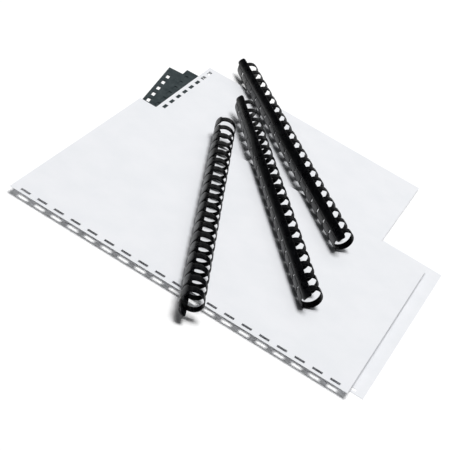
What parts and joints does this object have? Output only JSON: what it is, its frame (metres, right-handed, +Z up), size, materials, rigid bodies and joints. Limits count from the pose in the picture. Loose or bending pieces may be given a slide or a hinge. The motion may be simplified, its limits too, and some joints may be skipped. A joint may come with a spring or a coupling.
{
  "type": "comb binding set",
  "caption": "Plastic binding combs lying on a fan of comb-punched white sheets and black covers",
  "frame": {"origin": "centre of the fan's bounding box in plan, on the underside of the bottom sheet", "axes": "+Z up from the table, +Y away from the near punched edge of the top sheet, +X along that edge to the right"},
  "size_m": [0.3044, 0.396, 0.0261],
  "materials": {
    "paper": "matte",
    "cover": "satin",
    "comb_plastic": "gloss"
  },
  "bodies": {
    "sheet_bottom": {"sheet_bottom": "paper"},
    "cover_lower": {"cover_lower": "cover"},
    "cover_upper": {"cover_upper": "cover"},
    "sheet_middle": {"sheet_middle": "paper"},
    "page_stack": {"page_stack": "paper"},
    "sheet_top": {"sheet_top": "paper"},
    "comb_left": {"comb_left_spine": "comb_plastic"},
    "comb_left_fingers": {"comb_left_rings": "comb_plastic"},
    "comb_middle": {"comb_middle_rings": "comb_plastic"},
    "comb_middle_back": {"comb_middle_spine": "comb_plastic"},
    "comb_right": {"comb_right_rings": "comb_plastic"},
    "comb_right_back": {"comb_right_spine": "comb_plastic"}
  },
  "joints": [
    {"name": "cover_lower_draw", "type": "slide", "parent": "sheet_bottom", "child": "cover_lower", "axis": [-1, 0, 0], "range_m": [0, 0.29]},
    {"name": "cover_upper_draw", "type": "slide", "parent": "sheet_bottom", "child": "cover_upper", "axis": [-1, 0, 0], "range_m": [0, 0.29]},
    {"name": "sheet_middle_draw", "type": "slide", "parent": "sheet_bottom", "child": "sheet_middle", "axis": [0, 1, 0], "range_m": [0, 0.34]},
    {"name": "page_stack_draw", "type": "slide", "parent": "sheet_bottom", "child": "page_stack", "axis": [1, 0, 0], "range_m": [0, 0.3]},
    {"name": "sheet_top_draw", "type": "slide", "parent": "sheet_bottom", "child": "sheet_top", "axis": [0, -1, 0], "range_m": [0, 0.25]},
    {"name": "comb_left_lift", "type": "slide", "parent": "sheet_bottom", "child": "comb_left", "axis": [0, 0, 1], "range_m": [0, 0.06]},
    {"name": "comb_left_open", "type": "hinge", "parent": "comb_left", "child": "comb_left_fingers", "pos_m": [-0.03027, -0.06647, 0.01182], "axis": [0.3214, -0.9469, 0], "range_deg": [0, 45], "stiffness_Nm_per_rad": 0.02, "springref_deg": -17.19},
    {"name": "comb_middle_lift", "type": "slide", "parent": "sheet_bottom", "child": "comb_middle", "axis": [0, 0, 1], "range_m": [0, 0.06]},
    {"name": "comb_middle_open", "type": "hinge", "parent": "comb_middle", "child": "comb_middle_back", "pos_m": [-0.00021, -0.00053, 0.01703], "axis": [0.567, -0.8237, 0], "range_deg": [0, 45], "stiffness_Nm_per_rad": 0.02, "springref_deg": -17.19},
    {"name": "comb_right_lift", "type": "slide", "parent": "sheet_bottom", "child": "comb_right", "axis": [0, 0, 1], "range_m": [0, 0.06]},
    {"name": "comb_right_open", "type": "hinge", "parent": "comb_right", "child": "comb_right_back", "pos_m": [-0.01884, 0.087, 0.01593], "axis": [0.6506, -0.7591, 0.0233], "range_deg": [0, 45], "stiffness_Nm_per_rad": 0.02, "springref_deg": -17.19}
  ]
}
